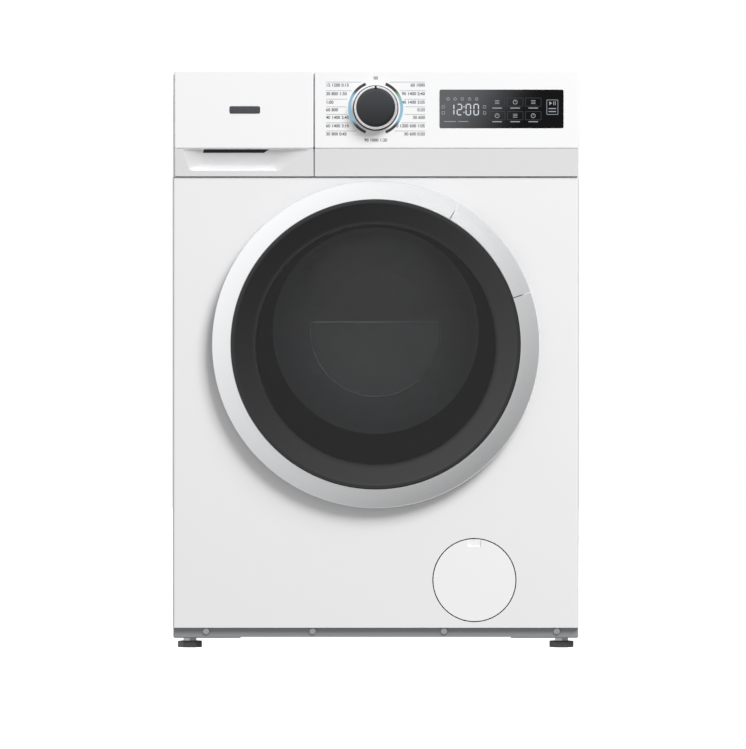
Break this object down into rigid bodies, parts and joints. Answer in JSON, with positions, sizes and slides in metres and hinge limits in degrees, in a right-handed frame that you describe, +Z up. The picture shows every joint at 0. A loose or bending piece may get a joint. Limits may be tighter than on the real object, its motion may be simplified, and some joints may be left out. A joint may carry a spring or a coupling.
{
  "type": "front load washing machine",
  "caption": "Free-standing front-loading washer: round hinged door with a glass bowl, detergent drawer, rotary knob, display, filter flap, sprung tub with belt-driven drum.",
  "frame": {"origin": "on the floor, at the middle of the overall box", "axes": "+X to the right as seen from the front, +Y to the back, +Z up"},
  "size_m": [0.597, 0.565, 0.847],
  "materials": {
    "white_enamel": "satin",
    "white_plastic": "satin",
    "white_board": "satin laminate",
    "grey_paint": "satin",
    "galvanised": "spangled",
    "screw_steel": "zinc",
    "dark_plastic": "matte",
    "black_gloss": "gloss",
    "board_green": "matte",
    "knob_grey": "satin",
    "knob_silver": "satin",
    "ring_silver": "satin metallic",
    "smoked_window": "gloss, smoked",
    "clear_glass": "clear",
    "grey_rubber": "matte",
    "black_rubber": "matte",
    "stainless": "brushed",
    "tub_plastic": "matte",
    "concrete": "rough",
    "cast_metal": "cast",
    "bearing_steel": "polished",
    "spring_steel": "oiled",
    "heater_steel": "polished",
    "foot_plastic": "matte",
    "grey_plastic": "matte"
  },
  "bodies": {
    "cabinet": {"cabinet_shell": "white_enamel", "front_panel": "white_enamel", "top_panel": "white_board", "rear_cover": "galvanised", "base_frame": "grey_paint", "cross_braces": "galvanised", "case_screws": "screw_steel", "transit_plugs": "grey_plastic", "console": "white_plastic", "display_window": "black_gloss", "control_board": "board_green", "knob_encoder": "dark_plastic", "dispenser_housing": "grey_plastic", "dispenser_hose": "black_rubber", "door_gasket": "grey_rubber", "damper_cylinders": "dark_plastic", "suspension_springs": "spring_steel", "pump_body": "dark_plastic", "sump_hose": "black_rubber", "drain_hose": "grey_plastic", "inlet_valve": "white_plastic", "drain_outlet": "dark_plastic", "cord_gland": "black_rubber", "hinge_bracket": "cast_metal", "hinge_pin": "screw_steel", "door_lock": "dark_plastic", "lock_nuts": "screw_steel"},
    "tub": {"tub_front": "tub_plastic", "tub_rear": "tub_plastic", "tub_screws": "screw_steel", "counterweight_front": "concrete", "counterweight_top": "concrete", "bearings": "bearing_steel", "heater": "heater_steel", "motor": "cast_metal", "drive_belt": "black_rubber", "damper_rods": "screw_steel"},
    "drum": {"drum_shell": "stainless", "lifters": "grey_plastic", "spider": "cast_metal", "drum_shaft": "bearing_steel", "drum_pulley": "cast_metal"},
    "motor_rotor": {"motor_pulley": "screw_steel"},
    "door": {"door_ring": "ring_silver", "door_grip": "ring_silver", "door_window": "smoked_window", "door_frame": "white_plastic", "door_glass": "clear_glass", "hinge_leaf": "cast_metal"},
    "latch": {"latch_hook": "screw_steel"},
    "drawer": {"drawer_front": "white_plastic", "drawer_tray": "grey_plastic"},
    "programme_knob": {"knob": "knob_grey", "knob_ring": "knob_silver"},
    "flap": {"filter_flap": "white_plastic"},
    "filter": {"pump_filter": "grey_plastic"},
    "front_left_foot": {"foot_front_left": "foot_plastic"},
    "front_right_foot": {"foot_front_right": "foot_plastic"},
    "rear_left_foot": {"foot_rear_left": "foot_plastic"},
    "rear_right_foot": {"foot_rear_right": "foot_plastic"}
  },
  "joints": [
    {"name": "door_hinge", "type": "hinge", "parent": "cabinet", "child": "door", "pos_m": [-0.228, -0.2605, 0.446], "axis": [0, 0, -1], "range_deg": [0, 135]},
    {"name": "latch_pivot", "type": "hinge", "parent": "door", "child": "latch", "pos_m": [0.19, -0.2535, 0.446], "axis": [0, 0, 1], "range_deg": [0, 12], "stiffness_Nm_per_rad": 0.05, "springref_deg": -17.19},
    {"name": "drawer_slide", "type": "slide", "parent": "cabinet", "child": "drawer", "axis": [0, -1, 0], "range_m": [0, 0.2]},
    {"name": "knob_turn", "type": "hinge", "parent": "cabinet", "child": "programme_knob", "pos_m": [0, -0.2695, 0.7927], "axis": [0, 1, 0], "continuous": true},
    {"name": "flap_hinge", "type": "hinge", "parent": "cabinet", "child": "flap", "pos_m": [0.145, -0.2437, 0.047], "axis": [1, 0, 0], "range_deg": [0, 85]},
    {"name": "filter_twist", "type": "hinge", "parent": "cabinet", "child": "filter", "pos_m": [0.145, -0.2325, 0.1], "axis": [0, -1, 0], "range_deg": [0, 120]},
    {"name": "tub_bounce", "type": "slide", "parent": "cabinet", "child": "tub", "axis": [0, 0, 1], "range_m": [-0.012, 0.012], "stiffness_N_per_m": 16000, "springref_m": 0.02157, "deforming": ["suspension_springs", "door_gasket", "dispenser_hose", "sump_hose"]},
    {"name": "drum_spin", "type": "hinge", "parent": "tub", "child": "drum", "pos_m": [0, 0, 0.466], "axis": [0, 1, 0], "continuous": true},
    {"name": "motor_spin", "type": "hinge", "parent": "tub", "child": "motor_rotor", "pos_m": [0.06, 0.2, 0.14], "axis": [0, 1, 0], "continuous": true},
    {"name": "front_left_levelling", "type": "slide", "parent": "cabinet", "child": "front_left_foot", "axis": [0, 0, -1], "range_m": [0, 0.012]},
    {"name": "front_right_levelling", "type": "slide", "parent": "cabinet", "child": "front_right_foot", "axis": [0, 0, -1], "range_m": [0, 0.012]},
    {"name": "rear_left_levelling", "type": "slide", "parent": "cabinet", "child": "rear_left_foot", "axis": [0, 0, -1], "range_m": [0, 0.012]},
    {"name": "rear_right_levelling", "type": "slide", "parent": "cabinet", "child": "rear_right_foot", "axis": [0, 0, -1], "range_m": [0, 0.012]}
  ],
  "couplings": [
    {"joint": "motor_spin", "follows": "drum_spin", "ratio": 11.6}
  ]
}
